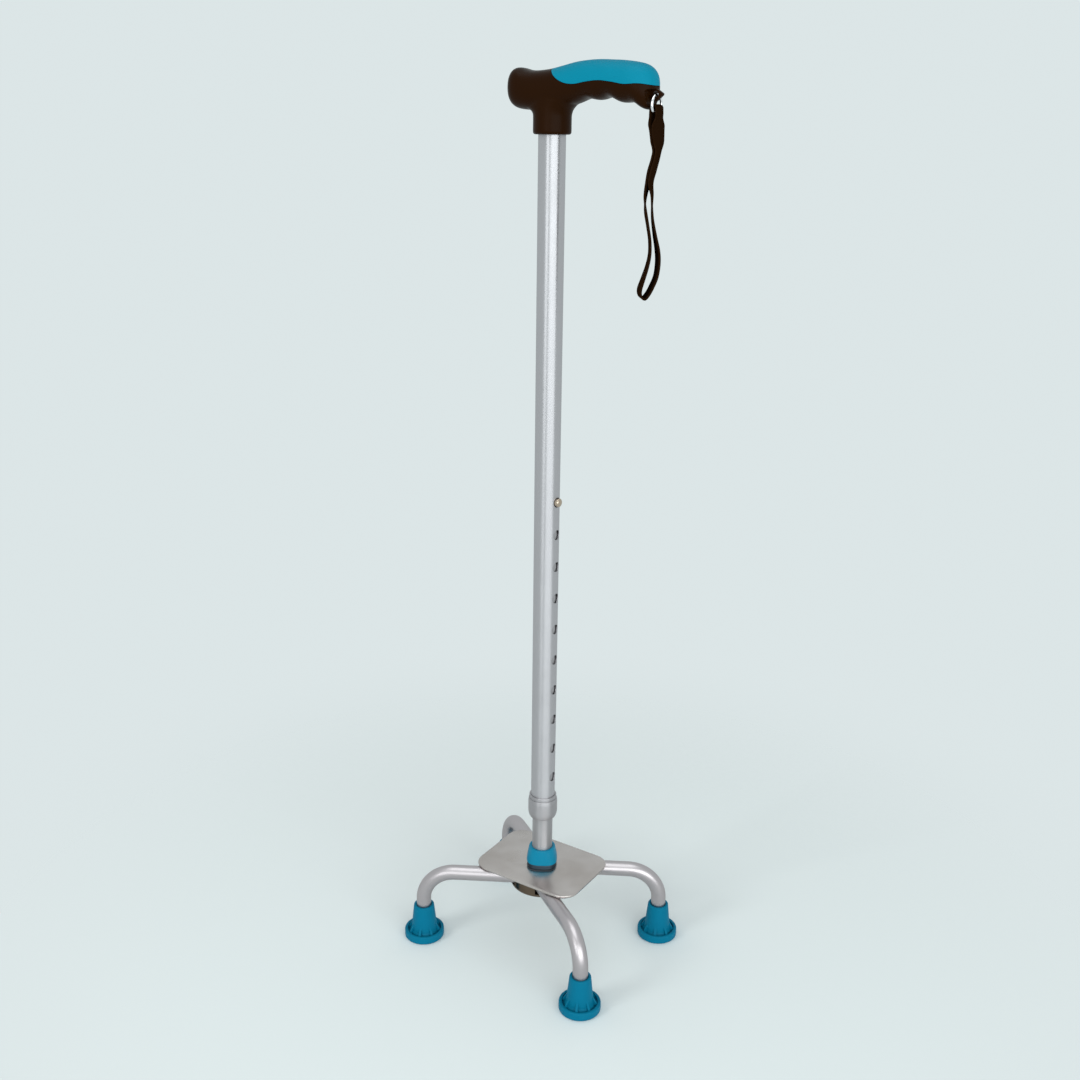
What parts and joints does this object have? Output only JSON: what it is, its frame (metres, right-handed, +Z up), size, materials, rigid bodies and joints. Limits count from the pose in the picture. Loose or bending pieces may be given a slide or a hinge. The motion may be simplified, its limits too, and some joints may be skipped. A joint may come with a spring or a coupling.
{
  "type": "quad cane",
  "caption": "Walking cane with a T handle, a height-adjustable tube shaft, a locking collar and a small plate base on bent tube legs with rubber feet.",
  "frame": {"origin": "on the floor, on the shaft's axis, in the middle of the feet", "axes": "+Z up along the shaft; +X along the long side of the base, the way the grip and the height holes point"},
  "size_m": [0.189, 0.1494, 0.6857],
  "materials": {
    "aluminium_tube": "satin",
    "plate_steel": "satin",
    "steel": "polished",
    "nickel": "polished",
    "chrome": "polished",
    "black_plastic": "satin moulding",
    "teal_rubber": "satin",
    "teal_plastic": "glossy moulding",
    "webbing": "woven tape"
  },
  "bodies": {
    "base": {"base_plate": "plate_steel", "base_socket": "steel", "base_ferrule": "teal_plastic", "base_cup": "steel", "base_bolt": "steel", "lock_washer": "steel", "base_spacer": "steel", "front_leg_tube": "aluminium_tube", "rear_leg_tube": "aluminium_tube", "lower_tube": "aluminium_tube", "guide_bush": "black_plastic", "foot_tip_left": "teal_rubber", "foot_tip_front": "teal_rubber", "foot_tip_right": "teal_rubber", "foot_tip_rear": "teal_rubber", "foot_washer_left": "steel", "foot_washer_front": "steel", "foot_washer_right": "steel", "foot_washer_rear": "steel"},
    "upper_shaft": {"upper_tube": "aluminium_tube", "handle_body": "black_plastic", "grip_inlay": "teal_rubber", "handle_screw": "steel", "collar_sleeve": "aluminium_tube", "collar_collet": "black_plastic"},
    "snap_button": {"snap_button_clip": "nickel"},
    "lock_nut": {"collar_nut": "aluminium_tube"},
    "lug_ring": {"strap_ring": "chrome"},
    "strap": {"wrist_strap": "webbing"}
  },
  "joints": [
    {"name": "height_slide", "type": "slide", "parent": "base", "child": "upper_shaft", "axis": [0, 0, 1], "range_m": [0, 0.2286]},
    {"name": "button_press", "type": "slide", "parent": "base", "child": "snap_button", "axis": [-1, 0, 0], "range_m": [0, 0.0043], "stiffness_N_per_m": 2800, "springref_m": -0.002, "deforming": ["snap_button_clip"]},
    {"name": "collar_turn", "type": "hinge", "parent": "upper_shaft", "child": "lock_nut", "pos_m": [0, 0, 0.1205], "axis": [0, 0, 1], "range_deg": [0, 270]},
    {"name": "ring_swing", "type": "hinge", "parent": "upper_shaft", "child": "lug_ring", "pos_m": [0.0812, 0, 0.66353], "axis": [0, -1, 0], "range_deg": [-4, 80]},
    {"name": "strap_swing", "type": "hinge", "parent": "lug_ring", "child": "strap", "pos_m": [0.0812, 0, 0.65194], "axis": [0, -1, 0], "range_deg": [-15, 15]}
  ]
}
